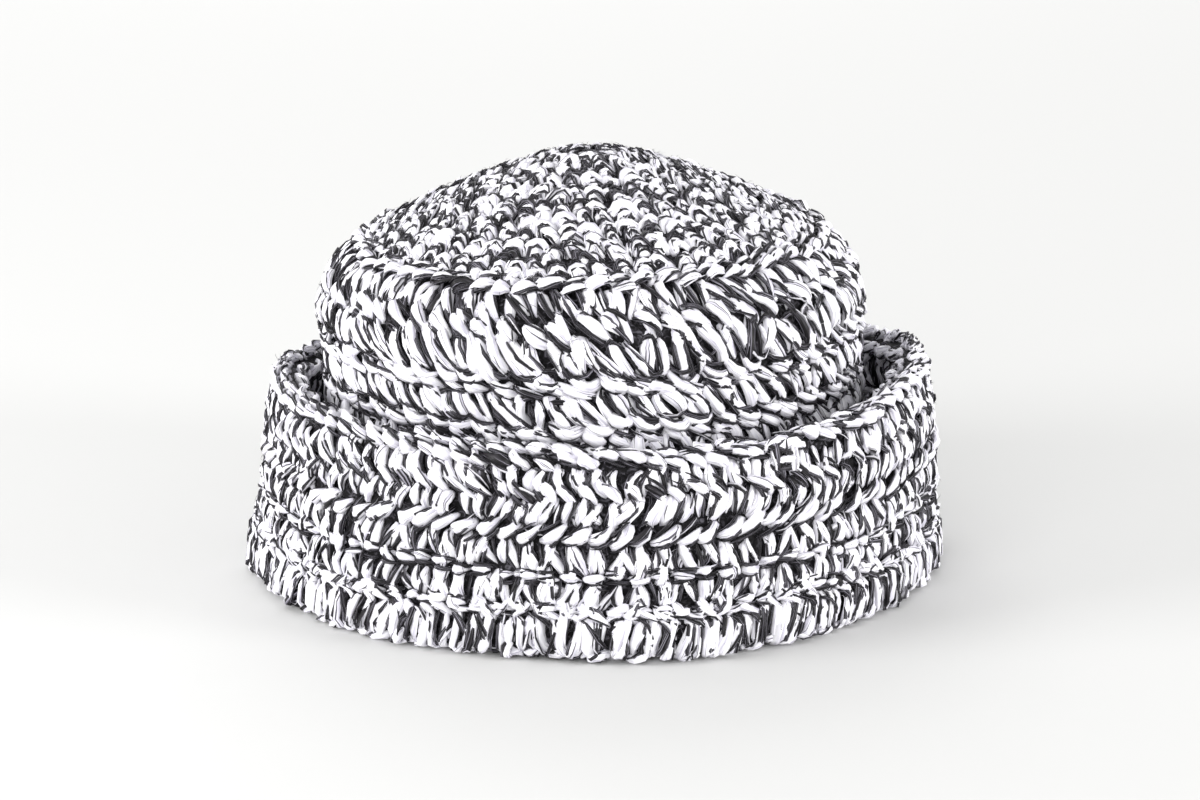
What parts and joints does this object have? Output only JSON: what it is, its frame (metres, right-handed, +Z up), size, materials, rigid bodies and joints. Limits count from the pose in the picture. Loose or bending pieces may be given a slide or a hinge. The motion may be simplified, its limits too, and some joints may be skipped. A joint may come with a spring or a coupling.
{
  "type": "crocheted raffia hat",
  "caption": "Crocheted hat of black and white marled raffia, with a domed crown, a raised ridge round its tip and a deep brim turned up as a cuff.",
  "frame": {"origin": "centre of the ring that the hat rests on, in the plane of its lowest points", "axes": "+Z up through the crown's tip, -Y towards the front that the picture shows, +X to the right of that front"},
  "size_m": [0.2495, 0.2522, 0.1505],
  "materials": {
    "marled_raffia": "crocheted black and white paper raffia, satin"
  },
  "bodies": {
    "root": {"crown_tip": "marled_raffia", "ridge_chain": "marled_raffia", "crown_side": "marled_raffia", "brim": "marled_raffia", "cuff": "marled_raffia", "rim_edging": "marled_raffia"}
  },
  "joints": []
}
